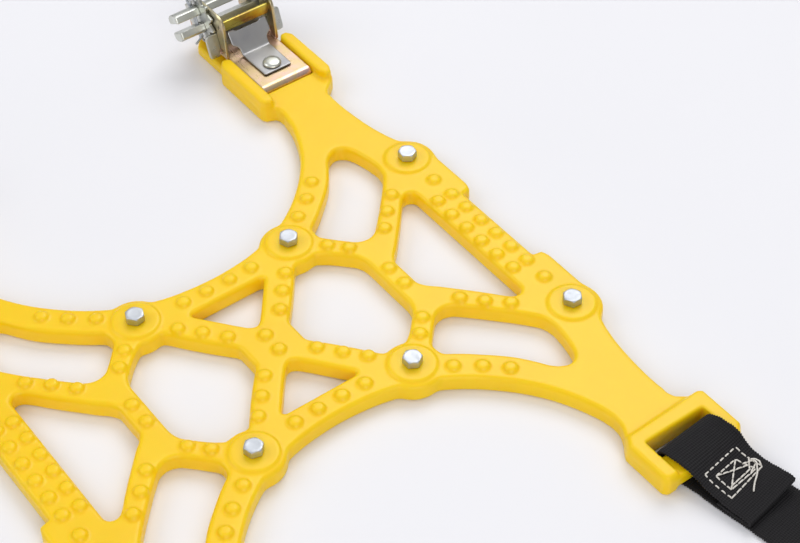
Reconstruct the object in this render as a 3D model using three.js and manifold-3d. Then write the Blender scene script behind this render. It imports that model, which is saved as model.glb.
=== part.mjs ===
// Tyre snow chain unit: a moulded elastomer traction lattice with eight steel
// studs, two ratchet buckles on its +Y arms and two sewn webbing straps on its
// -Y arms. Millimetres, +Z up, origin on the underside at the lattice centre.
import * as THREE from 'three';
import { mergeVertices } from 'three/addons/utils/BufferGeometryUtils.js';
import Module from 'manifold-3d';

const wasm = await Module();
wasm.setup();

// ---------------------------------------------------------------- dimensions
const U = 9.6;                 // plan module: radius of a stud pad
const LATTICE_T = 8.2;         // lattice thickness
const EDGE = 1.1;              // moulded edge chamfer
const PAD_TOP = 9.2;           // raised stud pads
const BUMP_H = 1.9;            // tread bump height above the lattice
const ARM_X = 96;              // arm centre lines, left and right
const GAP = 0.3;               // working clearance between separate pieces

const BOLT_AF = 7.2;           // stud head across flats
const BOLT_HEAD_H = 3.4;
const BOLT_SHANK_R = 2.0;
const NUT_R = 5.2;             // round backing nut under each stud
const NUT_T = 1.6;

const CRADLE_HALF = 19.7;      // cradle half width
const RAIL_IN = 13.5;          // rail inner faces from the arm centre line
const RAIL_TOP = 12.4;
const CRADLE_Y1 = 157.5, TAIL_Y1 = 185.5;
const TAIL_T = 5.6;

const FRAME_W = 28.3, SHEET = 1.6;       // ratchet frame width over the cheeks, and sheet
const NOSE_W = 26;                       // narrower front part that lies between the rails
const BASE_Z = 8.8, BASE_TOP = BASE_Z + SHEET;
const FRAME_Y0 = 129.3;                  // folded front lip
const RIVET_Y = 142.4;
const AXLE_Y = 177.7, AXLE_Z = 22.9;     // split axle centre
const AXLE_R = 6.6, AXLE_SLOT = 4.2;     // axle radius and webbing slot
const AXLE_TILT = 30 * Math.PI / 180;    // slot tilt at rest
const AXLE_LONG = 28.7, AXLE_SHORT = 20.2;
const BAR_HALF = 4.0;                    // half width of each axle bar
const WHEEL_RO = 12.0, WHEEL_RI = 9.3, TEETH = 12, WHEEL_T = 1.6;
const SPRING_T = 0.8, BEND_Y = 155.9, BEND_Z = 11.1;  // leaf spring and its bend
const SPRING_ANGLE = 58 * Math.PI / 180, SPRING_RISE = 12.4;
const PAWL_T = 1.6, PAWL_Y = 162.9, PAWL_Z = 10.0;    // lower edge of the pawl ears
const PAWL_ANGLE = 69.8 * Math.PI / 180, PAWL_LEN = 11.3, PAWL_NOTCH = 3.7;
const PAWL_EAR = 20.0, PAWL_TRAVEL = 2.6;             // ear half span, release travel

const SLOT_X = 14.5;                     // loop slot half width
const LOOP_Y0 = -119.5, SLOT_Y0 = -128.2, SLOT_Y1 = -136.3, LOOP_Y1 = -146.9;
const LOOP_HALF = 20.6, LOOP_T = 10.0;
const BAR_Z0 = 2.2, BAR_Z1 = 8.4;        // strap bar
const WEB_W = 27.3, WEB_T = 1.4;         // webbing
const HINGE_Y = -154, HINGE_Z = 4.2;     // where the sewn strap flexes
const STRAP_YAW = 9 * Math.PI / 180;     // the straps splay outward at rest
const STRAP_SHIFT = 2.6;                 // sideways set of the strap at its hinge
const STRAP_END_Y = -404;                // cut end, before the splay

// ----------------------------------------------------------------- materials
const std = (color, roughness, metalness) =>
  new THREE.MeshStandardMaterial({ color, roughness, metalness });
const MAT = {
  tpu: std(0xf6cf35, 0.34, 0),
  stud: std(0xc9ccd0, 0.32, 1),
  zinc: std(0xbfc3c4, 0.35, 1),
  gold: std(0xcfae62, 0.33, 1),
  spring: std(0x9a9b9c, 0.38, 1),
  wheel: std(0xb4b4ac, 0.36, 1),
  web: std(0x17181b, 0.85, 0),
};

// ------------------------------------------------------------------- helpers
function solid(geometry) {
  const g = geometry.index ? geometry.toNonIndexed() : geometry.clone();
  g.deleteAttribute('normal');
  g.deleteAttribute('uv');
  const m = mergeVertices(g, 1e-4);
  return new wasm.Manifold(new wasm.Mesh({
    numProp: 3,
    vertProperties: new Float32Array(m.attributes.position.array),
    triVerts: new Uint32Array(m.index.array),
  }));
}
function geometryOf(manifold) {
  const m = manifold.getMesh();
  const g = new THREE.BufferGeometry();
  g.setAttribute('position', new THREE.BufferAttribute(new Float32Array(m.vertProperties), 3));
  g.setIndex(Array.from(m.triVerts));
  g.computeVertexNormals();
  return g;
}
function mirrorX(g) {
  const o = g.clone();
  const p = o.attributes.position;
  for (let i = 0; i < p.count; i++) p.setX(i, -p.getX(i));
  const ix = Array.from(o.index.array);
  for (let i = 0; i < ix.length; i += 3) [ix[i + 1], ix[i + 2]] = [ix[i + 2], ix[i + 1]];
  o.setIndex(ix);
  o.computeVertexNormals();
  return o;
}
const shapeOf = (pts, holes = []) => {
  const s = new THREE.Shape(pts.map(([x, y]) => new THREE.Vector2(x, y)));
  for (const h of holes) s.holes.push(new THREE.Path(h.map(([x, y]) => new THREE.Vector2(x, y))));
  return s;
};
// plan outline extruded upward from z0 to z1, optional chamfered rims
function plan(pts, z0, z1, holes = [], bevel = 0) {
  const g = new THREE.ExtrudeGeometry(shapeOf(pts, holes), {
    depth: z1 - z0 - 2 * bevel, steps: 1, curveSegments: 6,
    bevelEnabled: bevel > 0, bevelThickness: bevel, bevelSize: bevel,
    bevelOffset: -bevel, bevelSegments: 1,
  });
  g.translate(0, 0, z0 + bevel);
  return solid(g);
}
// side outline in (y, z), extruded along x from x0 to x1
function side(pts, x0, x1, holes = []) {
  const g = new THREE.ExtrudeGeometry(shapeOf(pts, holes), {
    depth: x1 - x0, steps: 1, bevelEnabled: false,
  });
  g.applyMatrix4(new THREE.Matrix4().set(0, 0, 1, x0, 1, 0, 0, 0, 0, 1, 0, 0, 0, 0, 0, 1));
  return solid(g);
}
function box(x0, x1, y0, y1, z0, z1) {
  const g = new THREE.BoxGeometry(x1 - x0, y1 - y0, z1 - z0);
  g.translate((x0 + x1) / 2, (y0 + y1) / 2, (z0 + z1) / 2);
  return solid(g);
}
function discZ(x, y, z0, z1, r0, r1, n = 16, turn = 0) {
  const g = new THREE.CylinderGeometry(r1, r0, z1 - z0, n, 1);
  g.rotateX(Math.PI / 2);
  g.rotateZ(turn);
  g.translate(x, y, (z0 + z1) / 2);
  return solid(g);
}
const arc = (cx, cy, r, a0, a1, n) => Array.from({ length: n + 1 }, (_, i) => {
  const a = a0 + (a1 - a0) * i / n;
  return [cx + r * Math.cos(a), cy + r * Math.sin(a)];
});
const circle = (cx, cy, r, n) => arc(cx, cy, r, 0, 2 * Math.PI, n).slice(0, n);

// --------------------------------------------------- traction lattice outline
// One quarter in plan modules (u along X, v along the arms); the lattice is
// symmetric about both axes.
const rimArc = [[0, 4.73], [1, 4.78], [2, 4.92], [3, 5.2], [4, 5.62], [5, 6.24],
  [6, 7.08], [7, 8.18], [7.5, 8.9], [7.85, 9.55], [8.15, 10.25], [8.4, 11.0], [8.5, 11.6]];
const rimSide = [[11.1, 11.6], [11.1, 10.6], [11.17, 9.6], [11.3, 8.6], [11.45, 7.9],
  [11.63, 7.3], [11.85, 6.85], [12.15, 6.55], [12.35, 6.2], [12.4, 5.7], [12.4, 2.95],
  [12.28, 2.5], [11.85, 2.42]];
const triangleHole = [[0, 1.25], [0.2, 1.33], [0.5, 1.65], [0.92, 2.18], [1.3, 2.67],
  [1.7, 3.18], [1.8, 3.36], [1.66, 3.47]];
const hexHole = [[1.25, 0.5], [1.4, 0.8], [2.0, 1.5], [2.5, 2.12], [3.0, 2.78],
  [3.3, 3.16], [3.6, 3.36], [3.95, 3.4], [4.3, 3.28], [4.65, 3.05], [5.0, 2.75],
  [5.4, 2.33], [5.7, 1.98], [5.84, 1.6], [5.87, 1.2]];
const legHole = [[6.88, 0.7], [7.02, 1.02], [7.5, 1.52], [8.0, 2.07], [8.5, 2.62],
  [9.0, 3.2], [9.38, 3.65], [9.62, 3.86], [9.9, 3.9], [10.1, 3.74], [10.15, 3.45]];
const longHole = [[5.12, 4.32], [5.22, 4.0], [5.5, 3.65], [6.0, 3.1], [6.35, 2.78],
  [6.8, 2.67], [7.2, 2.8], [7.55, 3.12], [8.0, 3.58], [8.5, 4.12], [9.0, 4.67],
  [9.4, 5.15], [9.72, 5.6], [9.84, 6.1], [9.8, 6.7], [9.7, 7.25], [9.56, 7.75],
  [9.36, 8.08], [9.03, 8.24], [8.66, 8.12], [8.35, 7.85], [8.05, 7.4], [7.5, 6.65],
  [7.0, 6.13], [6.5, 5.68], [6.0, 5.24], [5.6, 4.93], [5.25, 4.65]];

const scale = (p, su, sv) => p.map(([u, v]) => [u * U * su, v * U * sv]);
// full outline: four quarters joined, counter-clockwise
const quarter = [...rimArc.slice(1), ...rimSide];             // from the arc to the side
const q1 = scale(quarter, 1, 1), q2 = scale(quarter, -1, 1).reverse();
const q3 = scale(quarter, -1, -1), q4 = scale(quarter, 1, -1).reverse();
const outline = [[0, 4.73 * U], ...q1, ...q4, [0, -4.73 * U], ...q3, ...q2].reverse();
const holes = [];
for (const s of [1, -1]) {
  const t = scale(triangleHole, 1, s);
  holes.push([...t, ...scale(triangleHole.slice(1), -1, s).reverse()]);
  const h = scale(hexHole, s, 1);
  holes.push([...h, ...scale(hexHole, s, -1).reverse()]);
  const l = scale(legHole, s, 1);
  holes.push([...l, ...scale(legHole, s, -1).reverse()]);
  for (const r of [1, -1]) holes.push(scale(longHole, s, r));
}

const pads = [];
for (const sv of [1, -1]) for (const [u, v] of [[-11.23, 5.745], [-3.856, 4.452], [3.856, 4.452], [11.23, 5.745]])
  pads.push([u * U, v * U * sv]);

const bumpsQuarter = [[10.55, 0.52], [11.35, 0.52], [10.55, 1.57], [11.35, 1.57], [10.6, 2.62],
  [11.35, 2.62], [11.3, 3.85], [7.68, 2.67], [8.4, 3.45], [9.2, 4.2], [6.37, 0.55],
  [5.75, 2.6], [5.1, 3.3], [0.58, 4.12], [1.7, 4.15], [1.3, 1.35], [2.0, 2.2], [2.7, 3.0],
  [5.1, 5.55], [6.05, 6.27], [6.87, 7.05]];
const bumps = [];
for (const [u, v] of bumpsQuarter) for (const su of [1, -1]) for (const sv of [1, -1])
  bumps.push([u * U * su, v * U * sv]);
bumps.push([0, 0.5 * U], [0, -0.5 * U]);

// ------------------------------------------------------------ traction body
let tpu = plan(outline, 0, LATTICE_T, holes, EDGE);
for (const [x, y] of pads) {
  tpu = tpu.add(discZ(x, y, 0.001, LATTICE_T - 0.001, 12.5, 12.5, 20));
  tpu = tpu.add(discZ(x, y, 4, PAD_TOP, 9.9, 9.4, 20));
}
for (const [x, y] of bumps) tpu = tpu.add(discZ(x, y, 6, LATTICE_T + BUMP_H, 3.1, 2.0, 6, 0.3));

for (const sx of [1, -1]) {
  const cx = ARM_X * sx;
  const arm = (pts) => pts.map(([x, y]) => [cx + sx * x, y]);
  const ccw = (pts) => (sx > 0 ? pts : pts.slice().reverse());
  // cradle plate, its two rails and the thinner tail under the ratchet
  const c = CRADLE_HALF;
  tpu = tpu.add(plan(ccw(arm([[-14.4, 110], [10.6, 110], [10.5, 113], [12.6, 116], [16, 118.8], [c - 0.6, 122.4],
    [c, 125.5], [c, CRADLE_Y1 - 3], [c - 2, CRADLE_Y1], [-c + 2, CRADLE_Y1], [-c, CRADLE_Y1 - 3],
    [-c, 123], [-c + 1, 120.6], [-15.2, 119], [-13.9, 117], [-13.8, 113.5]])), 0, LATTICE_T, [], EDGE));
  tpu = tpu.add(plan(ccw(arm([[-16.6, 140], [16.6, 140], [16.6, TAIL_Y1 - 5], [12.6, TAIL_Y1],
    [-12.6, TAIL_Y1], [-16.6, TAIL_Y1 - 5]])), 0, TAIL_T, [], EDGE));
  const r = RAIL_IN;
  const railOuter = [[r, 125], [r + 1.6, 121.6], [c - 1.8, 121], [c, 125], [c, CRADLE_Y1 - 3], [c - 2, CRADLE_Y1],
    [r + 1.5, CRADLE_Y1], [r, CRADLE_Y1 - 2]];
  const railInner = [[-c, 123], [-c + 1.2, 120.6], [-r - 1.5, 119.4], [-r, 122], [-r, CRADLE_Y1 - 2],
    [-r - 1.5, CRADLE_Y1], [-c + 2, CRADLE_Y1], [-c, CRADLE_Y1 - 3]];
  for (const rail of [railOuter, railInner]) tpu = tpu.add(plan(ccw(arm(rail)), 0.5, RAIL_TOP, [], 1.2));
  // groove that takes the folded front lip of the ratchet base
  tpu = tpu.subtract(box(cx - NOSE_W / 2 - GAP, cx + NOSE_W / 2 + GAP, FRAME_Y0 - GAP, FRAME_Y0 + SHEET + GAP, 5.2, 20));
  // rivet bore with a counterbore for the burr washer
  tpu = tpu.subtract(discZ(cx, RIVET_Y, -1, 20, 2.4, 2.4, 12));
  tpu = tpu.subtract(discZ(cx, RIVET_Y, -1, 2.4, 5.6, 5.6, 16));
  // strap loop: thick frame with a slot and a slimmer outer bar
  tpu = tpu.add(plan(ccw(arm([[-14.4, -110], [-14.9, -115], [-17, -119.5], [-LOOP_HALF, -125], [-LOOP_HALF, LOOP_Y1 + 3],
    [-LOOP_HALF + 3, LOOP_Y1], [LOOP_HALF - 4, LOOP_Y1], [LOOP_HALF, LOOP_Y1 + 4.5], [LOOP_HALF, LOOP_Y0 - 1],
    [LOOP_HALF - 1.4, LOOP_Y0], [15.5, LOOP_Y0], [11.5, -116.5], [10.4, -113], [10.6, -110]])), 0, LATTICE_T, [], EDGE));
  tpu = tpu.add(plan(ccw(arm([[-18, -122], [-LOOP_HALF, -126], [-LOOP_HALF, LOOP_Y1 + 3],
    [-LOOP_HALF + 3, LOOP_Y1], [LOOP_HALF - 4, LOOP_Y1], [LOOP_HALF, LOOP_Y1 + 4.5], [LOOP_HALF, LOOP_Y0 - 2.5],
    [LOOP_HALF - 2, LOOP_Y0 - 1.2]])), 0.2, LOOP_T, [], EDGE));
  tpu = tpu.subtract(box(cx - SLOT_X, cx + SLOT_X, SLOT_Y1, SLOT_Y0, -5, 30));
  tpu = tpu.subtract(box(cx - SLOT_X, cx + SLOT_X, LOOP_Y1 - 5, SLOT_Y1 + 1, -5, BAR_Z0));
  tpu = tpu.subtract(box(cx - SLOT_X, cx + SLOT_X, LOOP_Y1 - 5, SLOT_Y1 + 1, BAR_Z1, 30));
  // eased corners where the webbing bears on the bar
  for (const [y, dy] of [[SLOT_Y1, 1], [LOOP_Y1, -1]]) for (const [z, dz] of [[BAR_Z0, -1], [BAR_Z1, 1]]) {
    const e = [[y + 0.3 * dy, z + 0.3 * dz], [y + 0.3 * dy, z - 1.6 * dz], [y - 1.6 * dy, z + 0.3 * dz]];
    tpu = tpu.subtract(side(dy * dz > 0 ? e.slice().reverse() : e, cx - SLOT_X, cx + SLOT_X));
  }
}
// stud bores and counterbores for the backing nuts
for (const [x, y] of pads) {
  tpu = tpu.subtract(discZ(x, y, -1, 20, BOLT_SHANK_R + GAP, BOLT_SHANK_R + GAP, 12));
  tpu = tpu.subtract(discZ(x, y, -1, 2.3, NUT_R + 0.4, NUT_R + 0.4, 16));
}

const model = new THREE.Group();
function place(name, geometry, material, x = 0, y = 0, z = 0) {
  const m = new THREE.Mesh(geometry, material.clone());
  m.name = name;
  m.position.set(x, y, z);
  model.add(m);
  return m;
}
place('traction_body', geometryOf(tpu), MAT.tpu);

// --------------------------------------------------------------- steel studs
// hexagon-headed stud screwed into a round backing nut from below
const hexR = BOLT_AF / Math.sqrt(3);
const head = discZ(0, 0, PAD_TOP + GAP, PAD_TOP + GAP + BOLT_HEAD_H - 0.7, hexR, hexR, 6)
  .add(discZ(0, 0, PAD_TOP + GAP + 1, PAD_TOP + GAP + BOLT_HEAD_H, hexR, hexR - 0.9, 6));
const studGeo = geometryOf(head.add(discZ(0, 0, 0.4, PAD_TOP + 2, BOLT_SHANK_R, BOLT_SHANK_R, 12)));
const nutGeo = geometryOf(discZ(0, 0, GAP, GAP + NUT_T, NUT_R, NUT_R, 16)
  .subtract(discZ(0, 0, -1, 5, BOLT_SHANK_R + GAP, BOLT_SHANK_R + GAP, 12)));
const padNames = ['rear_1', 'rear_2', 'rear_3', 'rear_4', 'front_1', 'front_2', 'front_3', 'front_4'];
pads.forEach(([x, y], i) => {
  // the first four pads sit on the ratchet side
  place(`stud_${padNames[i]}`, studGeo.clone(), MAT.stud, x, y, 0);
  place(`stud_nut_${padNames[i]}`, nutGeo.clone(), MAT.zinc, x, y, 0);
});

// ----------------------------------------------------------- ratchet buckles
const W = FRAME_W / 2;
const TIE_Y = 162.4;                     // front face of the tie bar
const cheek = [[158.1, BASE_Z], [158.1, 11], [158.8, 16], [159.5, 23.4], [160.2, 27.2], [161.4, 29.3], [163.6, 30.6], [166.5, 31],
  [182, 31], [185.6, 30], [188.6, 27.4], [190.2, 23.5], [190.4, 18], [189.6, 12.5], [188.4, BASE_Z]];
const dirY = Math.cos(PAWL_ANGLE), dirZ = Math.sin(PAWL_ANGLE);
const along = (r, off = 0) => [PAWL_Y + r * dirY + off * dirZ, PAWL_Z + r * dirZ - off * dirY];
// guide slot in the cheek for the pawl plate, long enough for its travel
const sh = PAWL_T / 2 + 0.35;
const slot0 = PAWL_NOTCH - PAWL_TRAVEL - 0.4;
const earSlot = [along(slot0, sh), along(PAWL_LEN + 0.4, sh), along(PAWL_LEN + 0.4, -sh), along(slot0, -sh)];

function frame() {
  const n = NOSE_W / 2;
  let f = plan([[-n, FRAME_Y0], [n, FRAME_Y0], [n, 157.9], [W, 158.5], [W, 188.4], [-W, 188.4], [-W, 158.5], [-n, 157.9]], BASE_Z, BASE_TOP);
  f = f.add(box(-n, n, FRAME_Y0, FRAME_Y0 + SHEET, 5.6, BASE_TOP));            // folded lip
  f = f.subtract(side([[FRAME_Y0 - 1, BASE_TOP - 1.1], [FRAME_Y0 + 1.1, BASE_TOP + 1], [FRAME_Y0 - 1, BASE_TOP + 1]], -20, 20));
  for (const s of [1, -1]) {
    const a = s > 0 ? W - SHEET : -W, b = a + SHEET;
    let c = side(cheek, a, b, []);
    c = c.subtract(side(circle(AXLE_Y, AXLE_Z, AXLE_R + 0.4, 20), a - 1, b + 1));
    c = c.subtract(side(earSlot, a - 1, b + 1));
    c = c.subtract(box(a - 1, b + 1, TIE_Y - GAP, TIE_Y + SHEET + GAP, 23.7, 27.3));   // tie bar tenon
    f = f.add(c);
  }
  return f.subtract(discZ(0, RIVET_Y, 0, 30, 2.4, 2.4, 12));
}
function tieBar() {
  return box(-W + SHEET + GAP, W - SHEET - GAP, TIE_Y, TIE_Y + SHEET, 22.4, 27.8)
    .add(box(-W, W, TIE_Y, TIE_Y + SHEET, 24, 27));
}
// leaf spring: riveted foot, bend, and a riser that widens toward its top edge
const footZ = BASE_TOP + GAP;
function spring() {
  const rise = [[-7.4, -0.4], [7.4, -0.4], [7.4, 3.0], [10.4, 5.6], [10.4, SPRING_RISE], [6.6, SPRING_RISE], [6.2, SPRING_RISE - 0.9],
    [-6.2, SPRING_RISE - 0.9], [-6.6, SPRING_RISE], [-10.4, SPRING_RISE], [-10.4, 5.6], [-7.4, 3.0]];
  const g = new THREE.ExtrudeGeometry(shapeOf(rise), { depth: SPRING_T, steps: 1, bevelEnabled: false });
  g.translate(0, 0, -SPRING_T / 2);
  g.rotateX(SPRING_ANGLE);
  g.translate(0, BEND_Y, BEND_Z);
  return box(-7.4, 7.4, 137.2, BEND_Y + 0.2, footZ, footZ + SPRING_T).add(solid(g))
    .subtract(discZ(0, RIVET_Y, 0, 30, 2.4, 2.4, 12));
}
// pawl plate: slides in the cheek slots, its ears reach both ratchet wheels
function pawl() {
  const k = W + 0.6;
  const p = [[-PAWL_EAR + 0.8, 0], [-k, 0], [-k, PAWL_NOTCH], [k, PAWL_NOTCH], [k, 0], [PAWL_EAR - 0.8, 0], [PAWL_EAR, 0.8],
    [PAWL_EAR, PAWL_LEN - 1], [PAWL_EAR - 1, PAWL_LEN], [-PAWL_EAR + 1, PAWL_LEN], [-PAWL_EAR, PAWL_LEN - 1], [-PAWL_EAR, 0.8]];
  const g = new THREE.ExtrudeGeometry(shapeOf(p), { depth: PAWL_T, steps: 1, bevelEnabled: false });
  g.translate(0, 0, -PAWL_T / 2);
  g.rotateX(PAWL_ANGLE);
  g.translate(0, PAWL_Y, PAWL_Z);
  return solid(g);
}
function rivet() {
  const g = new THREE.LatheGeometry([[0, GAP], [2.9, GAP], [2.9, 1.0], [2.1, 1.2], [2.1, footZ + SPRING_T + 1],
    [2.1, footZ + SPRING_T + GAP], [4.5, footZ + SPRING_T + GAP], [4.4, footZ + SPRING_T + 1.1], [3.5, footZ + SPRING_T + 1.9],
    [1.9, footZ + SPRING_T + 2.4], [0, footZ + SPRING_T + 2.5]].filter((p, i) => i !== 4)
    .map(([r, z]) => new THREE.Vector2(r, z)), 16);
  g.rotateX(Math.PI / 2);
  g.translate(0, RIVET_Y, 0);
  return solid(g);
}
const burr = discZ(0, RIVET_Y, 1.4, 2.2, 5.2, 5.2, 16).subtract(discZ(0, RIVET_Y, 0, 5, 2.5, 2.5, 12));

// split axle: two half-round bars with the webbing slot between them
function axleBar(sgn) {
  const h = AXLE_SLOT / 2;
  const e = Math.asin(Math.sqrt(AXLE_R ** 2 - BAR_HALF ** 2) / AXLE_R);
  let pts = [[BAR_HALF, h], ...arc(0, 0, AXLE_R, e, Math.PI - e, 7), [-BAR_HALF, h]];
  if (sgn < 0) pts = pts.map(([p, q]) => [-p, -q]);
  const c = Math.cos(AXLE_TILT), s = Math.sin(AXLE_TILT);
  const turned = pts.map(([p, q]) => [AXLE_Y + p * c + q * s, AXLE_Z - p * s + q * c]);
  return side(turned, -AXLE_LONG, AXLE_SHORT);
}
// direction across the slot, from the lower bar to the upper
const acrossY = Math.sin(AXLE_TILT), acrossZ = Math.cos(AXLE_TILT);
const cotterX = [-17.7, 17.7];
function alongAcross(x, r0, r1, radius, n = 8) {
  const g = new THREE.CylinderGeometry(radius, radius, r1 - r0, n, 1);
  g.translate(0, (r0 + r1) / 2, 0);
  g.rotateX(Math.PI / 2 - AXLE_TILT);
  g.translate(x, AXLE_Y, AXLE_Z);
  return solid(g);
}
function bar(sgn) {
  let b = axleBar(sgn);
  for (const x of cotterX) b = b.subtract(alongAcross(x, -9, 9, 1.25, 8));
  return b;
}
// cotter: straight shank through both bars, eye above, spread legs below
function cotter(x) {
  let c = alongAcross(x, -8.4, 8.2, 0.85, 8);
  const eye = new THREE.TorusGeometry(1.75, 0.8, 5, 10);
  eye.rotateY(Math.PI / 2);
  eye.translate(x, AXLE_Y + acrossY * 9.5, AXLE_Z + acrossZ * 9.5);
  c = c.add(solid(eye));
  const leg = new THREE.CylinderGeometry(0.55, 0.7, 4.6, 6, 1);
  leg.translate(0, -2.3, 0);
  leg.rotateZ(x < 0 ? -1.15 : 1.15);
  leg.rotateX(Math.PI / 2 - AXLE_TILT);
  leg.translate(x, AXLE_Y - acrossY * 8, AXLE_Z - acrossZ * 8);
  return c.add(solid(leg));
}
// ratchet wheel: sawtooth rim, two holes for the axle bars
const toothPhase = (() => {
  const [ty, tz] = along(PAWL_LEN, -PAWL_T / 2);
  return Math.atan2(tz - AXLE_Z, ty - AXLE_Y);
})();
function wheel(x0, x1) {
  const pts = [];
  const step = 2 * Math.PI / TEETH, deg = Math.PI / 180;
  for (let i = 0; i < TEETH; i++) {
    // crest, steep locking face just above the pawl tip, root land, long back ramp
    const a = toothPhase + i * step;
    pts.push([a - 7.5 * deg, WHEEL_RO], [a - 3.4 * deg, WHEEL_RO], [a + 6.5 * deg, WHEEL_RI], [a + 10 * deg, WHEEL_RI]);
  }
  let w = side(pts.map(([a, r]) => [AXLE_Y + r * Math.cos(a), AXLE_Z + r * Math.sin(a)]), x0, x1);
  const h = AXLE_SLOT / 2 - GAP, R = AXLE_R + GAP, B = BAR_HALF + GAP, e = Math.acos(B / R);
  for (const sgn of [1, -1]) {
    const p = [[B, h], ...arc(0, 0, R, e, Math.PI - e, 7), [-B, h]].map(([u, v]) => [sgn * u, sgn * v]);
    const c = Math.cos(AXLE_TILT), s = Math.sin(AXLE_TILT);
    w = w.subtract(side(p.map(([u, v]) => [AXLE_Y + u * c + v * s, AXLE_Z - u * s + v * c]), x0 - 1, x1 + 1));
  }
  return w;
}

const ratchet = {
  ratchet_frame: [frame(), MAT.gold],
  frame_tie_bar: [tieBar(), MAT.gold],
  pawl_spring: [spring(), MAT.spring],
  pawl_plate: [pawl(), MAT.wheel],
  base_rivet: [rivet(), MAT.zinc],
  rivet_washer: [burr, MAT.zinc],
  axle_bar_lower: [bar(-1), MAT.zinc],
  axle_bar_upper: [bar(1), MAT.zinc],
  wheel_inboard: [wheel(-W - GAP - WHEEL_T, -W - GAP), MAT.wheel],
  wheel_outboard: [wheel(W + GAP, W + GAP + WHEEL_T), MAT.wheel],
  cotter_inboard: [cotter(cotterX[0]), MAT.stud],
  cotter_outboard: [cotter(cotterX[1]), MAT.stud],
};
for (const [name, [shape, mat]] of Object.entries(ratchet)) {
  const g = geometryOf(shape);
  place(`${name}_right`, g, mat, ARM_X, 0, 0);
  place(`${name}_left`, mirrorX(g), mat, -ARM_X, 0, 0);
}

// ------------------------------------------------------------- webbing straps
// sewn loop around the strap bar: a teardrop band closed just outside the bar
const t = WEB_T, g0 = 0.4;
const inner = [[SLOT_Y1 + g0, BAR_Z0 + 0.9 - g0], [SLOT_Y1 + g0, BAR_Z1 - 0.9 + g0], [SLOT_Y1 - 0.9, BAR_Z1 + g0],
  [LOOP_Y1 + 0.9, BAR_Z1 + g0], [LOOP_Y1 - g0, BAR_Z1 - 1.4], [LOOP_Y1 - 1.5, HINGE_Z + 1.1], [LOOP_Y1 - 1.5, HINGE_Z - 0.3],
  [LOOP_Y1 - g0, BAR_Z0 + 0.5], [LOOP_Y1 + 0.9, BAR_Z0 - g0], [SLOT_Y1 - 0.9, BAR_Z0 - g0]];
const outer = [[SLOT_Y1 + g0 + t, BAR_Z0 + 0.4 - g0], [SLOT_Y1 + g0 + t, BAR_Z1 + 0.2 + g0], [SLOT_Y1 + 0.2, BAR_Z1 + g0 + t],
  [LOOP_Y1 + 1.6, BAR_Z1 + g0 + t], [LOOP_Y1 - 1.2, BAR_Z1 + 0.4], [HINGE_Y + 3.4, HINGE_Z + 2.3], [HINGE_Y, HINGE_Z + 1.5], [HINGE_Y, HINGE_Z - 1.5],
  [HINGE_Y + 3.4, HINGE_Z - 2.0], [LOOP_Y1 - 1.0, BAR_Z0 - 0.7], [LOOP_Y1 + 1.6, BAR_Z0 - g0 - t], [SLOT_Y1 + 0.4, BAR_Z0 - g0 - t]];
// rotation that turns straight webbing into the splayed direction about the hinge
function splay(geometry, sx) {
  const g = geometry.clone();
  g.translate(0, -HINGE_Y, 0);
  g.rotateZ(STRAP_YAW * sx);
  g.translate(STRAP_SHIFT * sx, HINGE_Y, 0);
  return g;
}
const strapLoop = side(outer, -WEB_W / 2, WEB_W / 2, [inner]);
// the loop ends on a face square to the splayed strap
const clearance = geometryOf(box(-30, 30, HINGE_Y - 30, HINGE_Y + 1.85, -20, 40));
// free strap: doubled and sewn down to the fold end, then one layer
const lift = GAP;
const tail = [...arc(HINGE_Y, HINGE_Z, 1.55, Math.PI / 2 - 0.15, -Math.PI / 2 - 0.15, 6),
  [-163, lift + 1.0], [-172, lift], [STRAP_END_Y, lift], [STRAP_END_Y, lift + t], [-176.2, lift + t], [-176, lift + 2 * t + 0.1],
  [-171, lift + 2 * t + 0.2], [-162.5, 4.5]];
const strapTail = geometryOf(side(tail, -WEB_W / 2, WEB_W / 2));
for (const [label, sx] of [['right', 1], ['left', -1]]) {
  place(`strap_loop_${label}`, geometryOf(strapLoop.subtract(solid(splay(clearance, sx)))), MAT.web, ARM_X * sx, 0, 0);
  place(`strap_tail_${label}`, splay(strapTail, sx), MAT.web, ARM_X * sx, 0, 0);
}

export default model;
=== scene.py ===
"""Looks of the tyre snow chain unit: moulded elastomer lattice, steel studs,
ratchet buckles and sewn webbing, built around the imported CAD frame."""
import bpy
import math
import numpy as np
from mathutils import Vector, Matrix


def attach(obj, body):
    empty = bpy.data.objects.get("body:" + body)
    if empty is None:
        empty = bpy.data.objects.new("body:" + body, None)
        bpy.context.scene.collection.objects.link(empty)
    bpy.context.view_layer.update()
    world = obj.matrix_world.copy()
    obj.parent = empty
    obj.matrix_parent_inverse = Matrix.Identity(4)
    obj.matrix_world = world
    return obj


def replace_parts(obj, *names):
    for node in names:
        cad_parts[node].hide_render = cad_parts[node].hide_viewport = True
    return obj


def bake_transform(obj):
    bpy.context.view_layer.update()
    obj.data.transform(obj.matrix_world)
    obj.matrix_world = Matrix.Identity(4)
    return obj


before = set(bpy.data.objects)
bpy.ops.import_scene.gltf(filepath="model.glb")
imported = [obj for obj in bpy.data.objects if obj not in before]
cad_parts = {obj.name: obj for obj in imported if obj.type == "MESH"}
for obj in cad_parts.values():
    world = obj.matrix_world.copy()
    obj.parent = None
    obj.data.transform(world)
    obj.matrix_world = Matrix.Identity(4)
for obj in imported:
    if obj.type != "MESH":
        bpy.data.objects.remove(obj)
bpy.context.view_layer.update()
F32 = np.float32
MM = 0.001

# ------------------------------------------------------------ field modelling


def axis(lo, hi, h):
    return (lo + h * np.arange(int(math.ceil((hi - lo) / h)) + 1)).astype(F32)


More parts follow.
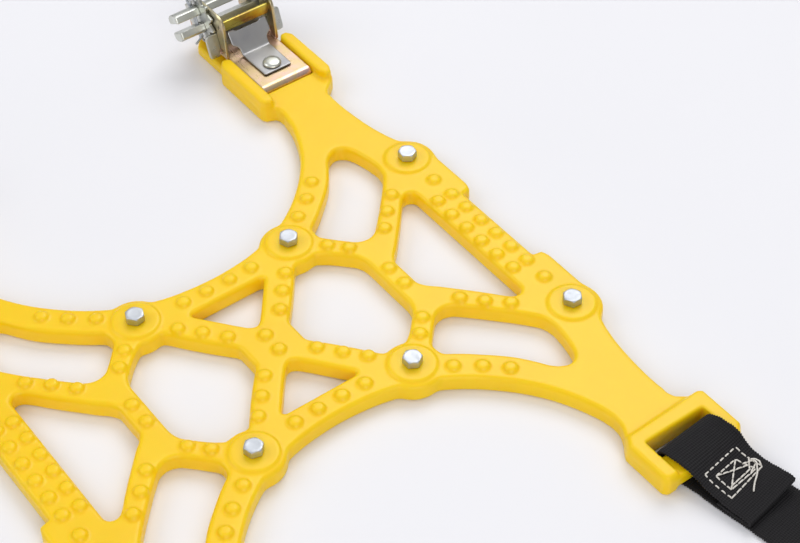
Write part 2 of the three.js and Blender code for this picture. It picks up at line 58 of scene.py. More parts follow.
class Field:
    """A signed distance field on a regular grid, in mm; negative is material."""

    def __init__(self, lo, hi, h):
        self.h, self.lo = h, np.array(lo, float)
        self.x, self.y, self.z = (axis(lo[i], hi[i], h) for i in range(3))
        self.d = np.full((len(self.x), len(self.y), len(self.z)), 50.0, F32)

    def win(self, lo, hi, pad):
        out = []
        for a, l, u in zip((self.x, self.y, self.z), lo, hi):
            out.append(slice(int(np.searchsorted(a, l - pad)), int(np.searchsorted(a, u + pad, "right"))))
        return tuple(out)

    def axes(self, w):
        return self.x[w[0]][:, None, None], self.y[w[1]][None, :, None], self.z[w[2]][None, None, :]

    def add(self, w, value, k=0.0):
        self.d[w] = smin(self.d[w], value, k)

    def cut(self, w, value, k=0.0):
        self.d[w] = -smin(-self.d[w], value, k)


def smin(a, b, k):
    if k <= 0:
        return np.minimum(a, b)
    h = np.clip(0.5 + 0.5 * (b - a) / k, 0, 1)
    return b + (a - b) * h - k * h * (1 - h)


def flat(u, v, pts, cap=7.0):
    """Signed distance of a closed plan polygon over the grid u by v."""
    P = np.asarray(pts, float)
    nu, nv = len(u), len(v)
    d = np.full((nu, nv), cap * cap, F32)
    inside = np.zeros((nu, nv), bool)
    for i in range(len(P)):
        a, b = P[i - 1], P[i]
        i0, i1 = np.searchsorted(u, min(a[0], b[0]) - cap), np.searchsorted(u, max(a[0], b[0]) + cap)
        j0, j1 = np.searchsorted(v, min(a[1], b[1]) - cap), np.searchsorted(v, max(a[1], b[1]) + cap)
        e = b - a
        L = float(e @ e)
        if L < 1e-12:
            continue
        if i0 < i1 and j0 < j1:
            wx = (u[i0:i1] - F32(a[0]))[:, None]
            wy = (v[j0:j1] - F32(a[1]))[None, :]
            t = np.clip((wx * F32(e[0]) + wy * F32(e[1])) / F32(L), 0, 1)
            q = (wx - t * F32(e[0])) ** 2 + (wy - t * F32(e[1])) ** 2
            d[i0:i1, j0:j1] = np.minimum(d[i0:i1, j0:j1], q)
        lo, hi = min(a[1], b[1]), max(a[1], b[1])
        for r in range(int(np.searchsorted(v, lo)), int(np.searchsorted(v, hi))):
            xi = a[0] + (float(v[r]) - a[1]) * e[0] / e[1]
            inside[: int(np.searchsorted(u, xi)), r] ^= True
    d = np.sqrt(d)
    return np.where(inside, -d, d).astype(F32)


def line(u, v, pts, cap=6.0):
    """Unsigned distance to an open path over the grid u by v."""
    P = np.asarray(pts, float)
    d = np.full((len(u), len(v)), cap * cap, F32)
    for a, b in zip(P[:-1], P[1:]):
        e = b - a
        wx, wy = u[:, None] - F32(a[0]), v[None, :] - F32(a[1])
        t = np.clip((wx * F32(e[0]) + wy * F32(e[1])) / F32(max(e @ e, 1e-12)), 0, 1)
        d = np.minimum(d, (wx - t * F32(e[0])) ** 2 + (wy - t * F32(e[1])) ** 2)
    return np.sqrt(d)


def point_poly(px, py, pts):
    """Signed distance of a polygon at arbitrary points."""
    P = np.asarray(pts, float)
    d = np.full(np.broadcast(px, py).shape, 1e4, F32)
    inside = np.zeros(d.shape, bool)
    for i in range(len(P)):
        a, b = P[i - 1], P[i]
        e = b - a
        wx, wy = px - F32(a[0]), py - F32(a[1])
        t = np.clip((wx * F32(e[0]) + wy * F32(e[1])) / F32(e @ e), 0, 1)
        d = np.minimum(d, (wx - t * F32(e[0])) ** 2 + (wy - t * F32(e[1])) ** 2)
        if abs(e[1]) > 1e-9:
            c = ((a[1] <= py) & (b[1] > py)) | ((b[1] <= py) & (a[1] > py))
            inside ^= c & (px < a[0] + (py - a[1]) * (e[0] / e[1]))
    d = np.sqrt(d)
    return np.where(inside, -d, d).astype(F32)


def slab(d2, t, mid, half, r):
    """Outline distance d2 given thickness along t, with every rim rounded by r."""
    a = d2 + F32(r)
    b = np.abs(t - F32(mid)) - F32(half - r)
    return np.sqrt(np.maximum(a, 0) ** 2 + np.maximum(b, 0) ** 2) + np.minimum(np.maximum(a, b), 0) - F32(r)


def smooth_poly(pts, corner=40, step=1.1, soften=1):
    """Closed outline through pts: curved where it turns gently, kept where it turns sharply."""
    P = [np.array(p, float) for p in pts]
    P = np.array([p for i, p in enumerate(P) if np.linalg.norm(p - P[i - 1]) > 1e-4])
    d = np.roll(P, -1, 0) - P
    L = np.linalg.norm(d, axis=1)
    u = d / L[:, None]
    n = len(P)
    tin, tout = [], []
    for i in range(n):
        a, b = u[i - 1], u[i]
        if math.degrees(math.acos(max(-1, min(1, float(a @ b))))) > corner:
            tin.append(a), tout.append(b)
        else:
            t = a * L[i] + b * L[i - 1]
            if L[i] > 2.2 * L[i - 1]:
                t = b
            elif L[i - 1] > 2.2 * L[i]:
                t = a
            t = t / np.linalg.norm(t)
            tin.append(t), tout.append(t)
    out = []
    for i in range(n):
        j = (i + 1) % n
        k = max(1, int(math.ceil(L[i] / step)))
        s = (np.arange(k) / k)[:, None]
        out.append((2 * s**3 - 3 * s**2 + 1) * P[i] + (s**3 - 2 * s**2 + s) * tout[i] * L[i]
                   + (-2 * s**3 + 3 * s**2) * P[j] + (s**3 - s**2) * tin[j] * L[i])
    out = np.concatenate(out)
    for _ in range(soften):                     # small radius on the sharp turns
        nxt = np.roll(out, -1, 0)
        out = np.stack([0.75 * out + 0.25 * nxt, 0.25 * out + 0.75 * nxt], 1).reshape(-1, 2)
    return out


def surface_nets(D, lo, h):
    """Vertices and quads of the zero surface of D."""
    s = D < 0
    n = np.array(D.shape) - 1
    count = np.zeros(n, np.uint8)
    for a in (0, 1):
        for b in (0, 1):
            for c in (0, 1):
                count += s[a:n[0] + a, b:n[1] + b, c:n[2] + c]
    act = (count > 0) & (count < 8)
    I, J, K = np.nonzero(act)
    idx = np.full(n, -1, np.int32)
    idx[I, J, K] = np.arange(len(I), dtype=np.int32)
    pos = np.zeros((len(I), 3))
    num = np.zeros(len(I))
    corners = [(a, b, c) for a in (0, 1) for b in (0, 1) for c in (0, 1)]
    vals = {c: D[I + c[0], J + c[1], K + c[2]].astype(float) for c in corners}
    for c in corners:
        for ax in range(3):
            if c[ax]:
                continue
            e = list(c)
            e[ax] = 1
            va, vb = vals[c], vals[tuple(e)]
            m = (va < 0) != (vb < 0)
            t = va[m] / (va[m] - vb[m])
            base = np.array(c, float)
            p = np.tile(base, (int(m.sum()), 1))
            p[:, ax] += t
            pos[m] += p
            num[m] += 1
    pos = pos / num[:, None] + np.stack([I, J, K], 1)
    verts = np.array(lo) + pos * h
    quads = []
    for ax in range(3):
        o1, o2 = (ax + 1) % 3, (ax + 2) % 3
        sl0 = [slice(1, n[i]) for i in range(3)]
        sl1 = [slice(1, n[i]) for i in range(3)]
        sl0[ax], sl1[ax] = slice(0, n[ax]), slice(1, n[ax] + 1)
        s0, s1 = s[tuple(sl0)], s[tuple(sl1)]
        g = np.stack(np.nonzero(s0 != s1), 1)
        off = np.array([1, 1, 1])
        off[ax] = 0
        g = g + off
        q = []
        for d1, d2 in ((-1, -1), (0, -1), (0, 0), (-1, 0)):
            w = g.copy()
            w[:, o1] += d1
            w[:, o2] += d2
            q.append(idx[w[:, 0], w[:, 1], w[:, 2]])
        q = np.stack(q, 1)
        fwd = s0[tuple((g - off).T)]
        q[~fwd] = q[~fwd][:, ::-1]
        quads.append(q)
    return verts, np.concatenate(quads)


def mesh_object(name, verts, faces, flip=False, smooth=True):
    """Mesh object from mm vertices; faces is an (n, k) array or a list."""
    me = bpy.data.meshes.new(name)
    v = np.asarray(verts, float) * MM
    if isinstance(faces, np.ndarray):
        f = faces[:, ::-1] if flip else faces
        k = f.shape[1]
        me.vertices.add(len(v))
        me.vertices.foreach_set("co", v.astype(F32).ravel())
        me.loops.add(f.size)
        me.loops.foreach_set("vertex_index", np.ascontiguousarray(f).astype(np.int32).ravel())
        me.polygons.add(len(f))
        me.polygons.foreach_set("loop_start", (np.arange(len(f)) * k).astype(np.int32))
        me.polygons.foreach_set("loop_total", np.full(len(f), k, np.int32))
        me.update(calc_edges=True)
    else:
        me.from_pydata([tuple(p) for p in v], [], [tuple(reversed(f)) if flip else tuple(f) for f in faces])
    me.validate()
    if smooth:
        me.polygons.foreach_set("use_smooth", np.ones(len(me.polygons), bool))
    o = bpy.data.objects.new(name, me)
    bpy.context.scene.collection.objects.link(o)
    return o


def apply_modifiers(o):
    bpy.context.view_layer.update()
    dg = bpy.context.evaluated_depsgraph_get()
    me = bpy.data.meshes.new_from_object(o.evaluated_get(dg))
    o.modifiers.clear()
    old = o.data
    o.data = me
    me.name = o.name
    bpy.data.meshes.remove(old)


def thin(o, ratio):
    if ratio >= 1:
        return
    m = o.modifiers.new("thin", "DECIMATE")
    m.ratio = ratio
    apply_modifiers(o)
    o.data.polygons.foreach_set("use_smooth", np.ones(len(o.data.polygons), bool))


def read_mesh(o):
    v = np.zeros(len(o.data.vertices) * 3)
    o.data.vertices.foreach_get("co", v)
    return v.reshape(-1, 3) / MM, [list(p.vertices) for p in o.data.polygons]


def both_sides(name, o, body, mats, nodes, dx=96.0):
    """Place one right-hand piece at +dx and its mirror image at -dx."""
    v, f = read_mesh(o)
    bpy.data.objects.remove(o)
    for side, sx in (("right", 1), ("left", -1)):
        w = v.copy()
        w[:, 0] = sx * (w[:, 0] + dx)
        p = mesh_object(f"{name}_{side}", w, f, flip=sx < 0)
        p.data.materials.append(mats)
        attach(p, body.format(side))
        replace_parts(p, *[n.format(side) for n in nodes])


# ------------------------------------------------------------------ materials


def nodes_of(name):
    m = bpy.data.materials.new(name)
    m.use_nodes = True
    t = m.node_tree
    return m, t, t.nodes["Principled BSDF"]


def N(t, kind, **inputs):
    n = t.nodes.new(kind)
    for k, v in inputs.items():
        key = k.replace("_", " ")
        if key in n.inputs:
            n.inputs[key].default_value = v
        else:
            setattr(n, k, v)
    return n


def mapped(t, scale=(1, 1, 1), rot=(0, 0, 0)):
    c = t.nodes.new("ShaderNodeTexCoord")
    m = t.nodes.new("ShaderNodeMapping")
    m.inputs["Scale"].default_value = scale
    m.inputs["Rotation"].default_value = rot
    t.links.new(c.outputs["Object"], m.inputs["Vector"])
    return m.outputs["Vector"]


def ramp(t, fac, stops):
    r = t.nodes.new("ShaderNodeValToRGB")
    e = r.color_ramp.elements
    while len(e) < len(stops):
        e.new(0.5)
    for el, (p, c) in zip(e, stops):
        el.position = p
        el.color = (*c, 1) if len(c) == 3 else c
    t.links.new(fac, r.inputs["Fac"])
    return r.outputs["Color"]


def srgb(r, g, b):
    f = lambda c: c / 12.92 if c <= 0.04045 else ((c + 0.055) / 1.055) ** 2.4
    return tuple(f(c / 255) for c in (r, g, b))


def tpu_material():
    m, t, b = nodes_of("traction_elastomer")
    vec = mapped(t)
    big = N(t, "ShaderNodeTexNoise", Scale=28.0, Detail=3.0)
    t.links.new(vec, big.inputs["Vector"])
    col = ramp(t, big.outputs["Fac"], [(0.3, srgb(251, 205, 8)), (0.7, srgb(254, 210, 14))])
    t.links.new(col, b.inputs["Base Color"])
    fine = N(t, "ShaderNodeTexNoise", Scale=900.0, Detail=2.0)
    t.links.new(vec, fine.inputs["Vector"])
    rough = ramp(t, fine.outputs["Fac"], [(0.3, (0.34,) * 3), (0.75, (0.37,) * 3)])
    t.links.new(rough, b.inputs["Roughness"])
    wav = N(t, "ShaderNodeTexNoise", Scale=85.0, Detail=0.6)
    t.links.new(vec, wav.inputs["Vector"])
    b1 = N(t, "ShaderNodeBump", Strength=0.22, Distance=0.0007)
    t.links.new(wav.outputs["Fac"], b1.inputs["Height"])
    b2 = N(t, "ShaderNodeBump", Strength=0.025, Distance=0.00005)
    t.links.new(fine.outputs["Fac"], b2.inputs["Height"])
    t.links.new(b1.outputs["Normal"], b2.inputs["Normal"])
    t.links.new(b2.outputs["Normal"], b.inputs["Normal"])
    b.inputs["Subsurface Weight"].default_value = 0.4
    b.inputs["Subsurface Radius"].default_value = (1.0, 0.62, 0.06)
    b.inputs["Subsurface Scale"].default_value = 0.004
    b.inputs["Coat Weight"].default_value = 0.0
    b.inputs["Coat Roughness"].default_value = 0.12
    b.inputs["IOR"].default_value = 1.42
    return m


def metal(name, stops, rough=(0.24, 0.36), grain=(900, 60, 900), hue_scale=60.0, bump=0.12, dist=0.00005):
    m, t, b = nodes_of(name)
    b.inputs["Metallic"].default_value = 1.0
    vec = mapped(t)
    cloud = N(t, "ShaderNodeTexNoise", Scale=hue_scale, Detail=3.0, Distortion=0.4)
    t.links.new(vec, cloud.inputs["Vector"])
    t.links.new(ramp(t, cloud.outputs["Fac"], stops), b.inputs["Base Color"])
    v2 = mapped(t, scale=grain)
    g = N(t, "ShaderNodeTexNoise", Scale=1.0, Detail=4.0)
    t.links.new(v2, g.inputs["Vector"])
    t.links.new(ramp(t, g.outputs["Fac"], [(0.3, (rough[0],) * 3), (0.75, (rough[1],) * 3)]), b.inputs["Roughness"])
    bp = N(t, "ShaderNodeBump", Strength=bump, Distance=dist)
    t.links.new(g.outputs["Fac"], bp.inputs["Height"])
    t.links.new(bp.outputs["Normal"], b.inputs["Normal"])
    return m


def webbing_material():
    m, t, b = nodes_of("webbing")
    vec = mapped(t, rot=(0, 0, math.radians(-9)))
    w = N(t, "ShaderNodeTexWave", Scale=330.0, Distortion=1.2, Detail=2.0, bands_direction="X")
    t.links.new(vec, w.inputs["Vector"])
    n = N(t, "ShaderNodeTexNoise", Scale=1600.0, Detail=3.0)
    t.links.new(vec, n.inputs["Vector"])
    mix = N(t, "ShaderNodeMix", data_type="RGBA", blend_type="MULTIPLY")
    mix.inputs["Factor"].default_value = 0.7
    t.links.new(ramp(t, w.outputs["Fac"], [(0.2, srgb(12, 11, 13)), (0.85, srgb(32, 30, 33))]), mix.inputs["A"])
    t.links.new(ramp(t, n.outputs["Fac"], [(0.3, (0.55,) * 3), (0.7, (1.0,) * 3)]), mix.inputs["B"])
    t.links.new(mix.outputs["Result"], b.inputs["Base Color"])
    b.inputs["Roughness"].default_value = 0.72
    b.inputs["Sheen Weight"].default_value = 0.03
    b.inputs["Specular IOR Level"].default_value = 0.3
    b.inputs["Sheen Roughness"].default_value = 0.4
    bp = N(t, "ShaderNodeBump", Strength=0.3, Distance=0.0001)
    t.links.new(w.outputs["Fac"], bp.inputs["Height"])
    bp2 = N(t, "ShaderNodeBump", Strength=0.4, Distance=0.00006)
    t.links.new(n.outputs["Fac"], bp2.inputs["Height"])
    t.links.new(bp.outputs["Normal"], bp2.inputs["Normal"])
    t.links.new(bp2.outputs["Normal"], b.inputs["Normal"])
    return m


def thread_material():
    m, t, b = nodes_of("thread")
    vec = mapped(t)
    n = N(t, "ShaderNodeTexNoise", Scale=2200.0, Detail=2.0)
    t.links.new(vec, n.inputs["Vector"])
    t.links.new(ramp(t, n.outputs["Fac"], [(0.3, srgb(196, 190, 180)), (0.7, srgb(240, 237, 230))]), b.inputs["Base Color"])
    b.inputs["Roughness"].default_value = 0.75
    bp = N(t, "ShaderNodeBump", Strength=0.6, Distance=0.0001)
    t.links.new(n.outputs["Fac"], bp.inputs["Height"])
    t.links.new(bp.outputs["Normal"], b.inputs["Normal"])
    return m




def plated_frame():
    """Yellow chromate, pink-tan on the base plate; higher up, the cheeks get a duller, greener grey painted in as the
    reflection the upright faces show.
    """
    m = metal("yellow_zinc", [(0.28, srgb(218, 180, 172)), (0.42, srgb(214, 184, 168)), (0.52, srgb(206, 184, 140)),
                              (0.62, srgb(214, 184, 162)), (0.76, srgb(216, 176, 172))], rough=(0.26, 0.36),
              grain=(500, 60, 500), hue_scale=70.0, bump=0.03)
    t = m.node_tree
    b = t.nodes["Principled BSDF"]
    plate = b.inputs["Base Color"].links[0].from_socket
    c = t.nodes.new("ShaderNodeTexCoord")
    sp = t.nodes.new("ShaderNodeSeparateXYZ")
    t.links.new(c.outputs["Object"], sp.inputs["Vector"])
    # painted reflection: height mask from 10.8 to 16.5 mm that blends the upright cheeks into a duller grey-green
    cheek_reflection_mask = t.nodes.new("ShaderNodeMapRange")
    cheek_reflection_mask.inputs["From Min"].default_value, cheek_reflection_mask.inputs["From Max"].default_value = 0.0108, 0.0165
    t.links.new(sp.outputs["Z"], cheek_reflection_mask.inputs["Value"])
    n = N(t, "ShaderNodeTexNoise", Scale=110.0, Detail=2.0)
    t.links.new(c.outputs["Object"], n.inputs["Vector"])
    # painted reflection: duller grey-green standing in for what the upright cheeks reflect, not a different plating
    cheek = ramp(t, n.outputs["Fac"], [(0.3, srgb(166, 162, 146)), (0.5, srgb(186, 176, 138)), (0.7, srgb(200, 182, 156))])
    mix = N(t, "ShaderNodeMix", data_type="RGBA")
    t.links.new(cheek_reflection_mask.outputs["Result"], mix.inputs["Factor"])
    t.links.new(plate, mix.inputs["A"])
    t.links.new(cheek, mix.inputs["B"])
    t.links.new(mix.outputs["Result"], b.inputs["Base Color"])
    return m


TPU = tpu_material()
STUD = metal("stud_steel", [(0.3, srgb(172, 176, 182)), (0.7, srgb(200, 204, 209))], rough=(0.4, 0.54), grain=(700, 700, 700))
ZINC = metal("bright_zinc", [(0.3, srgb(200, 202, 192)), (0.7, srgb(226, 228, 222))], rough=(0.28, 0.42), grain=(60, 900, 900))
GOLD = plated_frame()
OLIVE = metal("yellow_zinc_bar", [(0.3, srgb(202, 186, 98)), (0.5, srgb(190, 174, 84)), (0.62, srgb(160, 122, 76)), (0.75, srgb(200, 184, 112))],
              rough=(0.24, 0.34), grain=(60, 500, 500), hue_scale=90.0, bump=0.04)
SPRING = metal("spring_steel", [(0.3, srgb(164, 164, 167)), (0.7, srgb(188, 188, 186))], rough=(0.36, 0.46), grain=(500, 60, 500), bump=0.08)
WHEEL = metal("ratchet_steel", [(0.3, srgb(176, 180, 168)), (0.55, srgb(200, 200, 194)), (0.75, srgb(188, 186, 168))], rough=(0.26, 0.4), grain=(700, 700, 700))
WEB = webbing_material()
THREAD = thread_material()

# ------------------------------------------------------- traction body (mm)
U, T = 9.6, 8.2
PAD_TOP = 9.2
RIM = [[0, 4.73], [1, 4.78], [2, 4.92], [3, 5.2], [4, 5.62], [5, 6.24], [6, 7.08], [7, 8.18], [7.5, 8.9],
       [7.85, 9.55], [8.15, 10.25], [8.4, 11.0], [8.5, 11.6], [11.1, 11.6], [11.1, 10.6], [11.17, 9.6], [11.3, 8.6],
       [11.45, 7.9], [11.63, 7.3], [11.85, 6.85], [12.15, 6.55], [12.35, 6.2], [12.4, 5.7], [12.4, 2.95],
       [12.28, 2.5], [11.85, 2.42]]
TRIANGLE = [[0, 1.25], [0.2, 1.33], [0.5, 1.65], [0.92, 2.18], [1.3, 2.67], [1.7, 3.18], [1.8, 3.36], [1.66, 3.47]]
HEX = [[1.25, 0.5], [1.4, 0.8], [2.0, 1.5], [2.5, 2.12], [3.0, 2.78], [3.3, 3.16], [3.6, 3.36], [3.95, 3.4],
       [4.3, 3.28], [4.65, 3.05], [5.0, 2.75], [5.4, 2.33], [5.7, 1.98], [5.84, 1.6], [5.87, 1.2]]
LEG = [[6.88, 0.7], [7.02, 1.02], [7.5, 1.52], [8.0, 2.07], [8.5, 2.62], [9.0, 3.2], [9.38, 3.65], [9.62, 3.86],
       [9.9, 3.9], [10.1, 3.74], [10.15, 3.45]]
LONG = [[5.12, 4.32], [5.22, 4.0], [5.5, 3.65], [6.0, 3.1], [6.35, 2.78], [6.8, 2.67], [7.2, 2.8], [7.55, 3.12],
        [8.0, 3.58], [8.5, 4.12], [9.0, 4.67], [9.4, 5.15], [9.72, 5.6], [9.84, 6.1], [9.8, 6.7], [9.7, 7.25],
        [9.56, 7.75], [9.36, 8.08], [9.03, 8.24], [8.66, 8.12], [8.35, 7.85], [8.05, 7.4], [7.5, 6.65],
        [7.0, 6.13], [6.5, 5.68], [6.0, 5.24], [5.6, 4.93], [5.25, 4.65]]
PADS = [(11.23 * U, 5.745 * U), (3.856 * U, 4.452 * U)]
BUMPS = [[10.55, 0.52], [11.35, 0.52], [10.55, 1.57], [11.35, 1.57], [10.6, 2.62], [11.35, 2.62], [11.3, 3.85],
         [7.68, 2.67], [8.4, 3.45], [9.2, 4.2], [6.37, 0.55], [5.75, 2.6], [5.1, 3.3], [0.58, 4.12], [1.7, 4.15],
         [1.3, 1.35], [2.0, 2.2], [2.7, 3.0], [5.1, 5.55], [6.05, 6.27], [6.87, 7.05]]


def sc(p, sv=1):
    return [[u * U, v * U * sv] for u, v in p]


def traction_body():
    h = 0.6
    f = Field((-1.5 * h - 0.0, -150.5, -1.5), (123.5, 189.5, 14.2), h)
    f.x = (h * (np.arange(len(f.x)) + 0.5)).astype(F32)      # half model, mirrored later
    full = sc(RIM) + sc(RIM, -1)[::-1]
    full += [[-p[0], p[1]] for p in full[::-1]]
    full = [p for i, p in enumerate(full) if not (abs(p[0]) < 1e-6 and abs(full[i - 1][0]) < 1e-6)]
    d = flat(f.x, f.y, smooth_poly(full, corner=30, step=1.6))
    for sv in (1, -1):
        for hole in (TRIANGLE, ):
            t = sc(hole, sv)
            loop = t + [[-p[0], p[1]] for p in t[::-1]][:-1]
            d = np.maximum(d, -flat(f.x, f.y, smooth_poly(loop, corner=50)))
        d = np.maximum(d, -flat(f.x, f.y, smooth_poly(sc(LONG, sv), corner=50)))
    for hole in (HEX, LEG):
        loop = sc(hole) + sc(hole, -1)[::-1]
        d = np.maximum(d, -flat(f.x, f.y, smooth_poly(loop, corner=50)))
    X2, Y2 = f.x[:, None], f.y[None, :]
    for px, py in PADS:
        for s in (1, -1):
            d = smin(d, (np.hypot(X2 - px, Y2 - py * s) - 12.5).astype(F32), 1.5)
    Z = f.z[None, None, :]
    f.d[:] = slab(d[:, :, None], Z, T / 2, T / 2, 1.9)

    def prism(pts, z0, z1, r, k, dx=96.0, corner=38):
        P = np.asarray(pts, float) + [dx, 0]
        w = f.win((P[:, 0].min(), P[:, 1].min(), z0), (P[:, 0].max(), P[:, 1].max(), z1), 4)
        dd = flat(f.x[w[0]], f.y[w[1]], smooth_poly(P, corner=corner, step=1.2))
        f.add(w, slab(dd[:, :, None], f.axes(w)[2], (z0 + z1) / 2, (z1 - z0) / 2, r), k)

    def block(x0, x1, y0, y1, z0, z1, r):
        w = f.win((x0, y0, z0), (x1, y1, z1), 3)
        X, Y, Zw = f.axes(w)
        q = [np.abs(X - (x0 + x1) / 2) - (x1 - x0) / 2 + r, np.abs(Y - (y0 + y1) / 2) - (y1 - y0) / 2 + r,
             np.abs(Zw - (z0 + z1) / 2) - (z1 - z0) / 2 + r]
        o = np.sqrt(sum(np.maximum(c, 0) ** 2 for c in q)) + np.minimum(np.maximum(np.maximum(q[0], q[1]), q[2]), 0) - r
        return w, o.astype(F32)

    # cradles under the ratchet buckles
    c = 19.7
    prism([[-14.4, 110], [-13.0, 99], [8.6, 99], [10.6, 110], [10.5, 113], [12.6, 116], [16, 118.8], [c - 0.6, 122.4], [c, 125.5], [c, 154.5],
           [c - 2, 157.5], [-c + 2, 157.5], [-c, 154.5], [-c, 123], [-c + 1, 120.6], [-15.2, 119], [-13.9, 117],
           [-13.8, 113.5]], 0, T, 1.6, 0.0, corner=30)
    prism([[-16.6, 140], [16.6, 140], [16.6, 180.5], [12.6, 185.5], [-12.6, 185.5], [-16.6, 180.5]], 0, 5.6, 1.4, 1.2)
    r = 13.5
    for rail in ([[r, 125], [r + 1.6, 121.6], [c - 1.8, 121], [c, 125], [c, 154.5], [c - 2, 157.5], [r + 1.5, 157.5], [r, 155.5]],
                 [[-c, 123], [-c + 1.2, 120.6], [-r - 1.5, 119.4], [-r, 122], [-r, 155.5], [-r - 1.5, 157.5], [-c + 2, 157.5], [-c, 154.5]]):
        prism(rail, 0.5, 12.2, 1.35, 1.5, corner=24)
    w, o = block(96 - 13.3, 96 + 13.3, 129.0, 131.2, 5.2, 20, 0.3)
    f.cut(w, o, 0.4)
    # strap loops
    L1, LH = -146.9, 20.6
    prism([[-14.4, -110], [-14.9, -115], [-17, -119.5], [-LH, -125], [-LH, L1 + 1.6], [-LH + 1.6, L1], [LH - 4, L1],
           [LH, L1 + 4.5], [LH, -120.5], [LH - 1.4, -119.5], [15.5, -119.5], [11.5, -116.5], [10.4, -113], [10.6, -110], [8.6, -99], [-13.0, -99]],
          0, T, 1.6, 0.0, corner=30)
    prism([[-18, -122], [-LH, -126], [-LH, L1 + 1.6], [-LH + 1.6, L1], [LH - 4, L1], [LH, L1 + 4.5], [LH, -122], [LH - 2, -120.7]],
          0.2, 10.2, 1.6, 1.8, corner=30)
    w, o = block(96 - 14.5, 96 + 14.5, -136.3, -128.2, -6, 30, 1.0)
    f.cut(w, o, 1.0)
    for z0, z1 in ((-8, 2.2), (8.4, 40)):
        w, o = block(96 - 14.5, 96 + 14.5, -155, -135.3, z0, z1, 0.6)
        f.cut(w, o, 0.8)
    # raised stud pads, tread bumps
    for px, py in PADS:
        for s in (1, -1):
            w = f.win((px - 10, py * s - 10, 5), (px + 10, py * s + 10, PAD_TOP), 3)
            X, Y, Zw = f.axes(w)
            rad = np.hypot(X - px, Y - py * s)
            o = slab((rad - 9.8).astype(F32), Zw, 6.6, PAD_TOP - 6.6, 0.6)
            f.add(w, o, 1.0)
            f.cut(w, slab((rad - 2.3).astype(F32), Zw, 5, 20, 0.1))
            f.cut(*(lambda w2: (w2, slab((np.hypot(f.axes(w2)[0] - px, f.axes(w2)[1] - py * s) - 5.6).astype(F32), f.axes(w2)[2], -7.7, 10, 0.2)))(
                f.win((px - 6, py * s - 6, -2), (px + 6, py * s + 6, 2.3), 1)))
    rng = np.random.default_rng(7)
    spots = [(u * U, v * U * s) for u, v in BUMPS for s in (1, -1)] + [(0, 0.5 * U), (0, -0.5 * U)]
    for bx, by in spots:
        w = f.win((bx - 3.6, by - 3.6, 5), (bx + 3.6, by + 3.6, 11), 1.5)
        X, Y, Zw = f.axes(w)
        hgt = 1.55 + 0.25 * float(rng.random())
        R = 2.85
        rr = np.hypot(X - bx, Y - by)
        o = slab((rr - R).astype(F32), Zw, T - 2 + hgt / 2, 2 + hgt / 2, 1.5)
        f.add(w, o.astype(F32), 0.9)
    # rivet bore
    w = f.win((90, 136, -2), (102, 149, 9), 1)
    X, Y, Zw = f.axes(w)
    rad = np.hypot(X - 96, Y - 142.4).astype(F32)
    f.cut(w, np.minimum(slab(rad - 2.4, Zw, 5, 20, 0.1), slab(rad - 5.6, Zw, -7.6, 10, 0.2)))
    f.d = np.maximum(f.d, F32(0.03) - f.z[None, None, :])      # flat underside
    D = np.concatenate([f.d[::-1], f.d])
    v, q = surface_nets(D, (-float(f.x[-1]), f.y[0], f.z[0]), h)
    o = mesh_object("traction_lattice", v, q)
    thin(o, 0.5)
    o.data.materials.append(TPU)
    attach(o, "root")
    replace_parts(o, "traction_body")


traction_body()

# ------------------------------------------------------------ turned fasteners


def turned(name, rows, x, y, seg=72, turn=0.3):
    """Closed solid of revolution; a row is (radius, z) or (across flats, z, cone) for a hexagon."""
    verts, faces = [], []
    th = np.arange(seg) * 2 * math.pi / seg
    for row in rows:
        if len(row) == 2:
            rad = np.full(seg, row[0])
        else:
            a = (th + turn) % (math.pi / 3) - math.pi / 6
            hexr = (row[0] / 2) / np.cos(a)
            rad = np.minimum(hexr, row[2])
        verts += [(x + r * math.cos(t), y + r * math.sin(t), row[1]) for r, t in zip(rad, th)]
    n = len(rows)
    for i in range(n - 1):
        for j in range(seg):
            k = (j + 1) % seg
            faces.append((i * seg + j, i * seg + k, (i + 1) * seg + k, (i + 1) * seg + j))
    b, t = len(verts), len(verts) + 1
    verts += [(x, y, rows[0][1]), (x, y, rows[-1][1])]
    for j in range(seg):
        k = (j + 1) % seg
        faces.append((b, k, j))
        faces.append((t, (n - 1) * seg + j, (n - 1) * seg + k))
    return mesh_object(name, verts, faces)


def sharpen(o, deg=32):
    me = o.data
    me.polygons.foreach_set("use_smooth", np.ones(len(me.polygons), bool))
    try:
        me.set_sharp_from_angle(angle=math.radians(deg))
    except Exception:
        pass


AF = 7.2
names = ["rear_1", "rear_2", "rear_3", "rear_4", "front_1", "front_2", "front_3", "front_4"]
spots = [(-PADS[0][0], PADS[0][1]), (-PADS[1][0], PADS[1][1]), PADS[1], PADS[0]]
spots = spots + [(x, -y) for x, y in spots]
turns = [0.35, 0.9, 0.15, 0.62, 0.8, 0.28, 0.5, 0.05]
for (x, y), nm, tn in zip(spots, names, turns):
    z0 = 9.5
    rows = [(1.6, 0.4), (2.0, 0.8), (2.0, z0)]
    rows += [(AF - 0.3, z0, 9.0), (AF, z0 + 0.12, 9.0), (AF, z0 + 1.2, 9.0), (AF, z0 + 2.1, 9.0)]
    for i in range(1, 9):                                   # turned crown of the head
        s = i / 8
        rows.append((AF - 0.02 * i, z0 + 2.1 + 1.2 * math.sin(s * math.pi / 2), 4.35 - 1.15 * (1 - math.cos(s * math.pi / 2))))
    rows += [(2.9, z0 + 3.34), (2.4, z0 + 3.3), (1.2, z0 + 3.28)]
    o = turned(f"hex_stud_{nm}", rows, x, y, turn=tn)
    sharpen(o, 28)
    o.data.materials.append(STUD)
    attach(o, "root"), o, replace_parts(o, f"stud_{nm}")
    n = turned(f"backing_nut_{nm}", [(4.9, 0.3), (5.2, 0.55), (5.2, 1.65), (4.9, 1.9), (2.35, 1.9)], x, y)
    sharpen(n)
    n.data.materials.append(ZINC)
    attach(n, "root"), n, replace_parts(n, f"stud_nut_{nm}")

